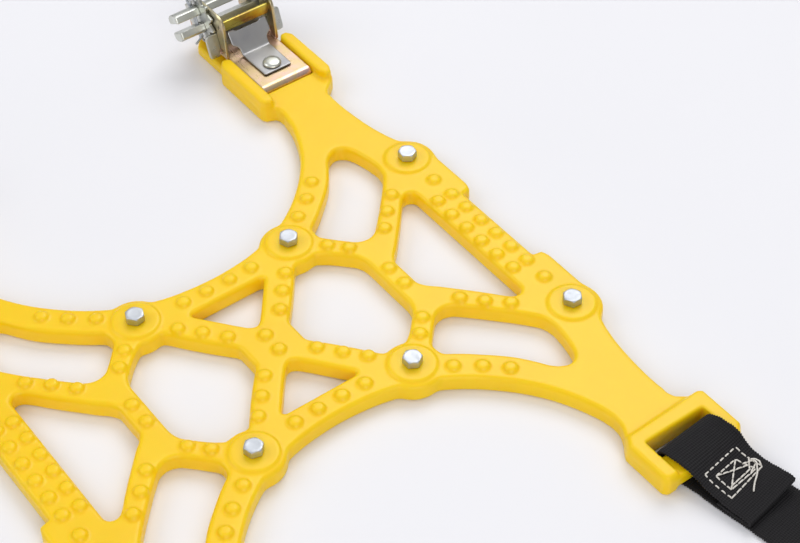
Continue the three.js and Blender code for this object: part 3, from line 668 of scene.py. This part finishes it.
FOOT = 10.4 + 0.3
top = FOOT + 0.8
rv = [(2.6, 0.3), (2.9, 0.5), (2.9, 0.9), (2.1, 1.2), (2.1, top + 0.2), (4.1, top + 0.2)]
for i in range(0, 11):
    a = math.radians(90 * i / 10)
    rv.append((max(4.3 * math.cos(a) ** 0.6, 0.15), top + 0.4 + 1.5 * math.sin(a)))
o = turned("rivet_dome", rv, 0, 142.4)
sharpen(o, 45)
both_sides("rivet_dome", o, "root", ZINC, ["base_rivet_{}"])
o = turned("burr", [(4.9, 1.4), (5.2, 1.6), (5.2, 2.0), (4.9, 2.2), (2.5, 2.2)], 0, 142.4)
sharpen(o)
both_sides("burr", o, "root", ZINC, ["rivet_washer_{}"])

# ------------------------------------------------------------ ratchet buckles
HW, SHEET, AY, AZ, AR = 14.15, 1.6, 177.7, 22.9, 6.6
TILT = math.radians(30)
PA = math.radians(69.8)
PY, PZ, PLEN, NOTCH, TRAVEL = 162.9, 10.0, 11.3, 3.7, 2.6
dY, dZ = math.cos(PA), math.sin(PA)
H = 0.26


def arc2(cx, cy, r, a0, a1, n=8):
    return [(cx + r * math.cos(math.radians(a0 + (a1 - a0) * i / n)), cy + r * math.sin(math.radians(a0 + (a1 - a0) * i / n))) for i in range(n + 1)]


def along(r, off=0.0):
    return (PY + r * dY + off * dZ, PZ + r * dZ - off * dY)


def field_object(name, f, keep=0.35):
    v, q = surface_nets(f.d, (f.x[0], f.y[0], f.z[0]), f.h)
    o = mesh_object(name, v, q)
    thin(o, keep)
    return o


def ratchet_frame():
    f = Field((-15.2, 128, 4.2), (15.2, 192, 32.6), H)
    X, Y, Z = f.x[:, None, None], f.y[None, :, None], f.z[None, None, :]
    cheek = smooth_poly([[158.1, 7.6], [158.1, 11], [158.8, 16], [159.5, 23.4], [160.2, 27.2], [161.4, 29.3], [163.6, 30.6],
                         [166.5, 31], [182, 31], [185.6, 30], [188.6, 27.4], [190.2, 23.5], [190.4, 18], [189.6, 12.5],
                         [188.4, 7.6]], corner=60, step=1.0)
    c2 = flat(f.y, f.z, cheek)
    hole = (np.hypot(f.y[:, None] - AY, f.z[None, :] - AZ) - (AR + 0.4)).astype(F32)
    s0, sh = NOTCH - TRAVEL - 0.4, 1.15
    ear = flat(f.y, f.z, [along(s0, sh), along(PLEN + 0.4, sh), along(PLEN + 0.4, -sh), along(s0, -sh)])
    c2 = np.maximum(c2, -hole)
    c2 = np.maximum(c2, -ear)
    m, q = HW - 0.8, 9.6
    u = [(-m, 40), (-m, q + 1.1)] + arc2(-m + 1.1, q + 1.1, 1.1, 180, 270) + arc2(m - 1.1, q + 1.1, 1.1, -90, 0) + [(m, 40)]
    shell = line(f.x, f.z, u)[:, None, :] - F32(0.8)
    body = -smin(-shell, -c2[None, :, :], 0.35)
    base2 = line(f.y, f.z, [(189.5, q), (132.2, q)] + arc2(132.2, q - 2.1, 2.1, 90, 180) + [(130.1, 6.6)])[None, :, :] - F32(0.8)
    planv = flat(f.x, f.y, smooth_poly([[-13, 128.0], [13, 128.0], [13, 157.9], [12.6, 158.8], [12.2, 160], [12.2, 188.4], [-12.2, 188.4],
                                        [-12.2, 160], [-12.6, 158.8], [-13, 157.9]], corner=5, step=3, soften=1))
    base = -smin(-base2, -planv[:, :, None], 0.45)
    f.d = np.minimum(base, body)
    rad = np.hypot(X, Y - 142.4).astype(F32)
    f.d = -smin(-f.d, slab(rad - 2.4, Z, 10, 20, 0.1), 0.2)
    return field_object("buckle_frame", f, keep=0.8)


def leaf_spring():
    f = Field((-11.4, 136.2, 9.8), (11.4, 164.5, 23.4), H)
    a = math.radians(57)
    y0, z0, R = 155.9, FOOT + 0.4, 2.2
    k = R * math.tan(a / 2)
    path = [(137.6, z0)] + [(y0 - k + R * math.sin(a * i / 8), z0 + R - R * math.cos(a * i / 8)) for i in range(9)]
    path += [(y0 + 12.0 * math.cos(a), z0 + 12.0 * math.sin(a)), (y0 + 12.9 * math.cos(a) - 0.25, z0 + 12.9 * math.sin(a) + 0.2)]
    sheet = line(f.y, f.z, path)[None, :, :] - F32(0.42)
    Y, Z = f.y[:, None], f.z[None, :]
    r = (Y - y0) * math.cos(a) + (Z - z0) * math.sin(a)
    s = np.where(r > 0, r, Y - y0).astype(F32)              # arc length from the bend
    p = smooth_poly([[-7.1, -18.7], [7.4, -18.7], [7.4, 3.0], [8.2, 4.4], [10.4, 5.6], [10.4, 12.5], [6.9, 12.5], [6.3, 11.5],
                     [-6.3, 11.5], [-6.9, 12.5], [-10.4, 12.5], [-10.4, 5.6], [-8.2, 4.4], [-7.4, 3.0]], corner=20, step=3, soften=2)
    out = point_poly(f.x[:, None, None], s[None, :, :], p)
    f.d = -smin(-sheet, -out, 0.3)
    X = f.x[:, None, None]
    f.d = -smin(-f.d, (np.hypot(X, Y[None] - 142.4) - 2.4).astype(F32), 0.2)
    return field_object("leaf_spring", f)


def pawl_plate():
    f = Field((-21.2, 160.4, 8.4), (21.2, 169.6, 22.2), H)
    Y, Z = f.y[:, None] - PY, f.z[None, :] - PZ
    r = (Y * dY + Z * dZ).astype(F32)
    n = (Y * dZ - Z * dY).astype(F32)
    k, e = HW + 0.6, 20.0
    p = smooth_poly([[-e + 0.8, 0], [-k, 0], [-k, NOTCH], [k, NOTCH], [k, 0], [e - 0.8, 0], [e, 0.8], [e, PLEN - 1], [e - 1, PLEN],
                     [-e + 1, PLEN], [-e, PLEN - 1], [-e, 0.8]], corner=20, step=4, soften=1)
    out = point_poly(f.x[:, None, None], r[None], p)
    f.d = slab(out, n[None], 0.0, 0.8, 0.3)
    return field_object("pawl", f)


def tie_bar():
    f = Field((-14.9, 161.4, 21.4), (14.9, 165.0, 28.8), H)
    X, Y, Z = f.x[:, None, None], f.y[None, :, None], f.z[None, None, :]
    a = slab(np.maximum(np.abs(X) - (HW - 1.9), np.abs(Z - 25.1) - 2.7), Y, 163.2, 0.8, 0.35)
    b = slab(np.maximum(np.abs(X) - HW, np.abs(Z - 25.5) - 1.5), Y, 163.2, 0.8, 0.25)
    f.d = np.minimum(a, b)
    return field_object("tie_bar", f)


CT, ST = math.cos(TILT), math.sin(TILT)


def bar_profile(f, sgn, grow=0.0):
    Y, Z = f.y[:, None] - AY, f.z[None, :] - AZ
    p = Y * CT - Z * ST
    q = (Y * ST + Z * CT) * sgn
    d = np.maximum(np.maximum(np.hypot(p, q) - (AR + grow), (2.1 - grow) - q), np.abs(p) - (4.0 + grow))
    return d.astype(F32)


def axle_bar(sgn):
    f = Field((-29.8, 168.8, 14.2), (21.2, 186.6, 31.6), H)
    d2 = bar_profile(f, sgn)[None]
    X, Y, Z = f.x[:, None, None], f.y[None, :, None], f.z[None, None, :]
    f.d = slab(d2, X, (-28.7 + 20.2) / 2, (28.7 + 20.2) / 2, 0.8)
    for cx in (-17.7, 17.7):
        p = (Y - AY) * CT - (Z - AZ) * ST
        f.d = -smin(-f.d, (np.hypot(X - cx, p) - 1.2).astype(F32), 0.25)
    return field_object("axle", f, keep=0.5)


def wheel(x0):
    h = H * 0.8
    f = Field((x0 - 0.7, AY - 13, AZ - 13), (x0 + 1.6 + 0.7, AY + 13, AZ + 13), h)
    ty, tz = along(PLEN, -0.8)
    ph = math.atan2(tz - AZ, ty - AY)
    deg = math.pi / 180
    pts = []
    for i in range(12):
        a = ph + i * math.pi / 6
        for da, r in ((-7.5, 12.0), (-3.4, 12.0), (6.5, 9.3), (10, 9.3)):
            pts.append((AY + r * math.cos(a + da * deg), AZ + r * math.sin(a + da * deg)))
    d = point_poly(f.y[:, None], f.z[None, :], smooth_poly(pts, corner=10, step=1.0, soften=1))
    for sgn in (1, -1):
        d = np.maximum(d, -bar_profile(f, sgn, 0.25))
    f.d = slab(d[None], f.x[:, None, None], x0 + 0.8, 0.8, 0.25)
    return field_object("wheel", f, keep=0.5)


def cotter(cx):
    h = H * 0.7
    f = Field((cx - 6.5, AY - 10, AZ - 14), (cx + 6.5, AY + 9.5, AZ + 13.5), h)
    X, Y, Z = f.x[:, None, None] - F32(cx), f.y[None, :, None] - F32(AY), f.z[None, None, :] - F32(AZ)
    A = np.array([0, ST, CT])
    B = np.array([0, CT, -ST])

    def cap(a, b, r):
        e = b - a
        wx, wy, wz = X - a[0], Y - a[1], Z - a[2]
        t = np.clip((wx * e[0] + wy * e[1] + wz * e[2]) / (e @ e), 0, 1)
        return (np.sqrt((wx - t * e[0]) ** 2 + (wy - t * e[1]) ** 2 + (wz - t * e[2]) ** 2) - r).astype(F32)

    ex = np.array([1.0, 0, 0])
    d = cap(A * -8.2 - ex * 0.42, A * 8.2 - ex * 0.42, 0.5)
    d = np.minimum(d, cap(A * -8.2 + ex * 0.42, A * 8.2 + ex * 0.42, 0.5))
    s = 1 if cx > 0 else -1
    d = smin(d, cap(A * -8.0 + ex * 0.42, A * -10.2 + ex * s * 3.6, 0.5), 0.3)
    d = smin(d, cap(A * -8.0 - ex * 0.42, A * -10.8 - ex * s * 1.2 + B * 1.0, 0.5), 0.3)
    c = A * 9.4
    wy, wz = Y - c[1], Z - c[2]
    al = wy * A[1] + wz * A[2]
    be = wy * B[1] + wz * B[2]
    tor = np.hypot(np.hypot(al, be) - 1.7, X) - 0.6
    f.d = smin(d, tor.astype(F32), 0.3)
    return field_object("cotter", f, keep=0.5)


both_sides("buckle_frame", ratchet_frame(), "root", GOLD, ["ratchet_frame_{}"])
both_sides("tie_bar", tie_bar(), "root", OLIVE, ["frame_tie_bar_{}"])
both_sides("leaf_spring", leaf_spring(), "root", SPRING, ["pawl_spring_{}"])
both_sides("pawl", pawl_plate(), "pawl_{}", WHEEL, ["pawl_plate_{}"])
both_sides("axle_lower", axle_bar(-1), "drum_{}", ZINC, ["axle_bar_lower_{}"])
both_sides("axle_upper", axle_bar(1), "drum_{}", ZINC, ["axle_bar_upper_{}"])
both_sides("wheel_in", wheel(-HW - 0.3 - 1.6), "drum_{}", WHEEL, ["wheel_inboard_{}"])
both_sides("wheel_out", wheel(HW + 0.3), "drum_{}", WHEEL, ["wheel_outboard_{}"])
both_sides("cotter_in", cotter(-17.7), "drum_{}", STUD, ["cotter_inboard_{}"])
both_sides("cotter_out", cotter(17.7), "drum_{}", STUD, ["cotter_outboard_{}"])

# ------------------------------------------------------------- webbing straps
HY, YAW, SHIFT, WH = -154.0, math.radians(9), 3.4, 13.9


def place_web(x, y, z, sx):
    """Strap coordinates (x across, y along, z up) to the splayed place."""
    x, y, z = (np.asarray(a, float) for a in (x, y, z))
    s = lambda t: np.clip(t, 0, 1) ** 2 * (3 - 2 * np.clip(t, 0, 1))
    ps = np.where(y < HY, YAW, math.radians(4.5) + (YAW - math.radians(4.5)) * s((-138 - y) / 16))
    sh = np.where(y < HY, SHIFT, SHIFT * s((-133 - y) / 21))
    below = np.minimum(y - HY, 0)
    X = 96 + sh + x * np.cos(ps) - below * math.sin(YAW)
    Y = np.maximum(y, HY) + below * math.cos(YAW) + x * np.sin(ps)
    return np.stack([sx * X, Y, z], -1)


def web_path():
    """Centre line of the webbing in the side view: tail, under the bar, round it, back out, folded end."""
    key = [(-404, 1.05), (-300, 1.05), (-230, 1.05), (-190, 1.05), (-165, 1.05), (-150, 1.05), (-140, 1.15), (-136.2, 1.6),
           (-133.9, 3.2), (-133.2, 5.8), (-133.3, 8.6), (-134.6, 10.3), (-137.4, 10.9), (-142, 10.7), (-146.5, 9.8),
           (-150.2, 8.2), (-154, 6.8), (-158, 5.8), (-163, 5.0), (-168, 4.6), (-174.0, 4.3)]
    P = np.array(key, float)
    out = []
    n = len(P)
    for i in range(n - 1):
        p0, p1, p2, p3 = P[max(i - 1, 0)], P[i], P[i + 1], P[min(i + 2, n - 1)]
        L = np.linalg.norm(p2 - p1)
        m1 = (p2 - p0) / max(np.linalg.norm(p2 - p0), 1e-9) * L
        m2 = (p3 - p1) / max(np.linalg.norm(p3 - p1), 1e-9) * L
        for s in np.arange(40) / 40:
            out.append((2 * s**3 - 3 * s**2 + 1) * p1 + (s**3 - 2 * s**2 + s) * m1 + (-2 * s**3 + 3 * s**2) * p2 + (s**3 - s**2) * m2)
    for a in np.linspace(90, -90, 14):                      # the end is turned under itself
        out.append([-174.0 - 0.80 * math.cos(math.radians(a)), 3.50 + 0.80 * math.sin(math.radians(a))])
    out += [[-169, 2.7], [-164, 2.7], [-160, 2.75]]
    P = np.array(out)
    d = np.concatenate([[0], np.cumsum(np.linalg.norm(np.diff(P, axis=0), axis=1))])
    step = 0.175
    t = np.arange(0, d[-1], step)
    return np.stack([np.interp(t, d, P[:, 0]), np.interp(t, d, P[:, 1])], 1), t


PATH, PT = web_path()
TOPI = int(np.argmax(PATH[:, 1]))
top_branch = PATH[TOPI:][PATH[TOPI:, 0] > -173.9]
top_branch = top_branch[:int(np.argmin(top_branch[:, 0])) + 1]


def web_top(y):
    return np.interp(-np.asarray(y, float), -top_branch[:, 0], top_branch[:, 1]) + 0.72


TOPW = (np.arange(len(PATH)) > TOPI - 30).astype(float)


def flap_lift(x, y):
    """The outboard edge of the sewn layer rides up on the loop and stands off at the fold."""
    s = lambda t: np.clip(t, 0, 1) ** 2 * (3 - 2 * np.clip(t, 0, 1))
    over = 1.5 * s((x - 11.0) / 3.0) * s((-134.0 - y) / 5) * (1 - s((-146 - y) / 8))
    tilt = 2.4 * s((x + 6) / 20) * s((-160 - y) / 14)
    return over + tilt


def webbing(side, sx):
    P, t = PATH, PT
    tan = np.gradient(P, axis=0)
    tan /= np.linalg.norm(tan, axis=1)[:, None]
    nrm = np.stack([-tan[:, 1], tan[:, 0]], 1)
    pitch = 1.06
    rib = np.abs(np.sin(math.pi * t / pitch)) ** 0.9
    half = 0.37 + 0.34 * rib
    edge = 0.22 * (np.sin(math.pi * t / pitch) ** 2) + 0.08 * np.sin(t * 0.37) + 0.06 * np.sin(t * 1.31 + 1)
    us = np.array([-1, -0.992, -0.965, -0.9, -0.6, -0.3, 0, 0.3, 0.6, 0.9, 0.965, 0.992, 1])
    th = np.array([0.25, 0.7, 0.95, 1, 1, 1, 1, 1, 1, 1, 0.95, 0.7, 0.25])
    ring = [(u, k) for u, k in zip(us, th)] + [(u, -k) for u, k in zip(us[::-1], th[::-1])]
    verts = []
    wob = 0.10 * np.sin(t * 0.11 + 0.6) + 0.06 * np.sin(t * 0.23)
    for u, k in ring:
        x = u * (WH - 0.30 + edge) + wob
        curl = 0.16 * abs(u) ** 3 * np.sin(t * 0.045)
        y = P[:, 0] + nrm[:, 0] * half * k
        z = P[:, 1] + nrm[:, 1] * half * k + np.where(P[:, 0] < -190, np.abs(curl), 0) + TOPW * flap_lift(x, P[:, 0])
        verts.append(place_web(x, y, z, sx))
    V = np.stack(verts, 1)
    m, n = V.shape[:2]
    idx = np.arange(m * n).reshape(m, n)
    a, b = idx[:-1], idx[1:]
    quads = np.stack([a, np.roll(a, -1, 1), np.roll(b, -1, 1), b], -1).reshape(-1, 4)
    verts = V.reshape(-1, 3)
    caps = [list(idx[0][::-1]), list(idx[-1])]
    faces = [tuple(q) for q in quads] + [tuple(c) for c in caps]
    o = mesh_object(f"webbing_{side}", verts, faces, flip=sx < 0)
    o.data.materials.append(WEB)
    s, e = place_web(0, -148.5, 4.2, sx), place_web(0, -158.5, 4.2, sx)
    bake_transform(o)
    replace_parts(o, f"strap_loop_{side}", f"strap_tail_{side}")
    return s, e


def to_strap(X, Y):
    dx, dy = X - 96 - SHIFT, Y - HY
    return dx * math.cos(YAW) + dy * math.sin(YAW), HY - dx * math.sin(YAW) + dy * math.cos(YAW)


def tube(points, r, seg=8):
    """Closed thread along 3-D points."""
    P = np.asarray(points, float)
    tan = np.gradient(P, axis=0)
    tan /= np.maximum(np.linalg.norm(tan, axis=1), 1e-9)[:, None]
    up = np.array([0.0, 0, 1.0])
    s = np.cross(tan, up)
    s /= np.maximum(np.linalg.norm(s, axis=1), 1e-9)[:, None]
    n = np.cross(s, tan)
    th = np.arange(seg) * 2 * math.pi / seg
    k = np.ones(len(P))
    k[0] = k[-1] = 0.55
    V = P[:, None] + r * k[:, None, None] * (s[:, None] * np.cos(th)[None, :, None] + n[:, None] * np.sin(th)[None, :, None] * 0.8)
    faces = []
    for i in range(len(P) - 1):
        for j in range(seg):
            q = (j + 1) % seg
            faces.append((i * seg + j, i * seg + q, (i + 1) * seg + q, (i + 1) * seg + j))
    faces += [tuple(range(seg))[::-1], tuple((len(P) - 1) * seg + j for j in range(seg))]
    return V.reshape(-1, 3), faces


def stitches(side, sx):
    V, Fc, base = [], [], 0

    def put(pts, r=0.33):
        nonlocal base
        v, f = tube(place_web(pts[:, 0], pts[:, 1], pts[:, 2], sx), r)
        V.append(v)
        Fc.extend([tuple(i + base for i in (q[::-1] if sx < 0 else q)) for q in f])
        base += len(v)

    def run(a, b, dash, gap, r=0.33, lift=0.12, start=0.0):
        a, b = np.array(to_strap(*a)), np.array(to_strap(*b))
        L = np.linalg.norm(b - a)
        t = start
        while t < L - 0.6:
            u0, u1 = t, min(t + dash, L)
            k = np.linspace(0, 1, 7)
            p = a + (b - a) * ((u0 + (u1 - u0) * k) / L)[:, None]
            z = web_top(p[:, 1]) + flap_lift(p[:, 0], p[:, 1]) + lift - 0.42 * (np.abs(2 * k - 1) ** 4)
            put(np.column_stack([p, z]), r)
            t = u1 + gap

    o1, o2, o3, o4 = (88.9, -152.6), (107.0, -149.6), (110.6, -160.9), (91.3, -164.9)
    run(o1, o2, 2.3, 0.7), run(o2, (108.8, -155.8), 2.2, 0.6), run((108.8, -155.8), o3, 2.6, 0.25)
    run(o3, o4, 3.2, 0.15), run(o4, o1, 1.9, 0.95)
    i1, i2, i3, i4 = (92.6, -154.9), (103.9, -153.3), (107.9, -160.4), (93.7, -162.1)
    run(i1, i2, 2.4, 0.35), run(i2, i3, 2.4, 0.4), run(i3, i4, 3.4, 0.1), run(i4, i1, 2.2, 0.5)
    run(i1, (106.2, -157.6), 2.8, 0.12, lift=0.28), run(i2, i4, 2.8, 0.12, lift=0.34)
    run((104.9, -156.2), (108.9, -157.0), 2.0, 0.1, lift=0.4), run((106.2, -159.3), (95.2, -161.0), 3.0, 0.1, lift=0.3)
    run((108.9, -155.2), (105.6, -159.2), 1.8, 0.1, lift=0.45), run((109.6, -158.6), (105.0, -160.6), 2.4, 0.1, lift=0.4)
    # loose thread ends
    for pts, zz in (([(109.3, -156.8), (109.9, -158.6), (108.4, -160.2), (107.2, -161.8), (105.4, -163.3), (103.2, -164.6), (101.2, -166.2), (99.7, -167.6)],
                     [0.4, 0.8, 0.9, 0.8, 0.7, 0.75, 0.6, 0.4]),
                    ([(110.4, -160.4), (111.0, -158.9), (110.3, -157.2), (108.9, -156.2)], [0.3, 0.7, 0.6, 0.3])):
        q = np.array([to_strap(*p) for p in pts])
        t0, t1 = np.arange(len(q)), np.linspace(0, len(q) - 1, 30)
        xs, ys = np.interp(t1, t0, q[:, 0]), np.interp(t1, t0, q[:, 1])
        for _ in range(4):
            xs[1:-1] = (xs[:-2] + xs[1:-1] * 2 + xs[2:]) / 4
            ys[1:-1] = (ys[:-2] + ys[1:-1] * 2 + ys[2:]) / 4
        put(np.column_stack([xs, ys, web_top(ys) + flap_lift(xs, ys) + np.interp(t1, t0, zz)]), 0.34)
    o = mesh_object(f"stitching_{side}", np.concatenate(V), Fc)
    o.data.materials.append(THREAD)
    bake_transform(o)


for side, sx in (("right", 1), ("left", -1)):
    s, e = webbing(side, sx)
    stitches(side, sx)

# ------------------------------------------------------------------- the stage
fm, ft, fb = nodes_of("floor")
fv = mapped(ft)
fn = N(ft, "ShaderNodeTexNoise", Scale=3.0, Detail=2.0)
ft.links.new(fv, fn.inputs["Vector"])
ft.links.new(ramp(ft, fn.outputs["Fac"], [(0.3, srgb(238, 238, 242)), (0.7, srgb(241, 241, 245))]), fb.inputs["Base Color"])
fb.inputs["Roughness"].default_value = 0.6
fb.inputs["Specular IOR Level"].default_value = 0.2
floor = mesh_object("floor", [(-4000, -4000, -0.1), (4000, -4000, -0.1), (4000, 4000, -0.1), (-4000, 4000, -0.1)], [(0, 1, 2, 3)], smooth=False)
floor.data.materials.append(fm)

world = bpy.data.worlds.new("studio")
bpy.context.scene.world = world
world.use_nodes = True
wt = world.node_tree
bg = wt.nodes["Background"]
tc = wt.nodes.new("ShaderNodeTexCoord")
sep = wt.nodes.new("ShaderNodeSeparateXYZ")
wt.links.new(tc.outputs["Generated"], sep.inputs["Vector"])
wr = wt.nodes.new("ShaderNodeValToRGB")
wr.color_ramp.elements[0].position, wr.color_ramp.elements[0].color = 0.0, (0.42, 0.42, 0.43, 1)
wr.color_ramp.elements[1].position, wr.color_ramp.elements[1].color = 0.9, (1.0, 1.0, 1.02, 1)
wt.links.new(sep.outputs["Z"], wr.inputs["Fac"])
wt.links.new(wr.outputs["Color"], bg.inputs["Color"])
bg.inputs["Strength"].default_value = 0.60


def area(name, loc, target, size, power, color=(1, 1, 1)):
    d = bpy.data.lights.new(name, "AREA")
    d.shape, d.size, d.size_y, d.energy, d.color = "RECTANGLE", size[0], size[1], power, color
    o = bpy.data.objects.new(name, d)
    bpy.context.scene.collection.objects.link(o)
    o.location = loc
    o.rotation_euler = (Vector(target) - Vector(loc)).to_track_quat("-Z", "Y").to_euler()
    return o


area("key", (0.75, 0.55, 1.15), (0.05, 0, 0), (0.9, 0.9), 8.2)
area("fill", (-0.9, 0.7, 1.0), (0, 0, 0), (1.0, 0.8), 4.2)
area("front", (-0.45, -1.2, 0.75), (0, 0, 0), (1.2, 0.8), 7.2)

# ------------------------------------------------------------------ the camera
a, e, r = math.radians(35.945), math.radians(44.809), math.radians(-1.046)
right = Vector((math.cos(a), -math.sin(a), 0))
back = Vector((-math.cos(e) * math.sin(a), -math.cos(e) * math.cos(a), math.sin(e)))
up = right.cross(-back)
cx = right * math.cos(r) + up * math.sin(r)
cy = -right * math.sin(r) + up * math.cos(r)
target = Vector((0.0681, 0.0073, 0.00104))
cd = bpy.data.cameras.new("camera")
cd.sensor_width, cd.lens = 36.0, 1919.28 / 800 * 36
cd.shift_x, cd.shift_y = 0.0, -(271.5 - 271) / 800
cd.clip_start, cd.clip_end = 0.01, 20
cam = bpy.data.objects.new("camera", cd)
bpy.context.scene.collection.objects.link(cam)
m = Matrix.Identity(4)
for i in range(3):
    m[i][0], m[i][1], m[i][2] = cx[i], cy[i], back[i]
m.translation = target + back * 0.7948
cam.matrix_world = m
bpy.context.scene.camera = cam
bpy.context.scene.view_settings.view_transform = "Standard"
bpy.context.scene.view_settings.look = "None"
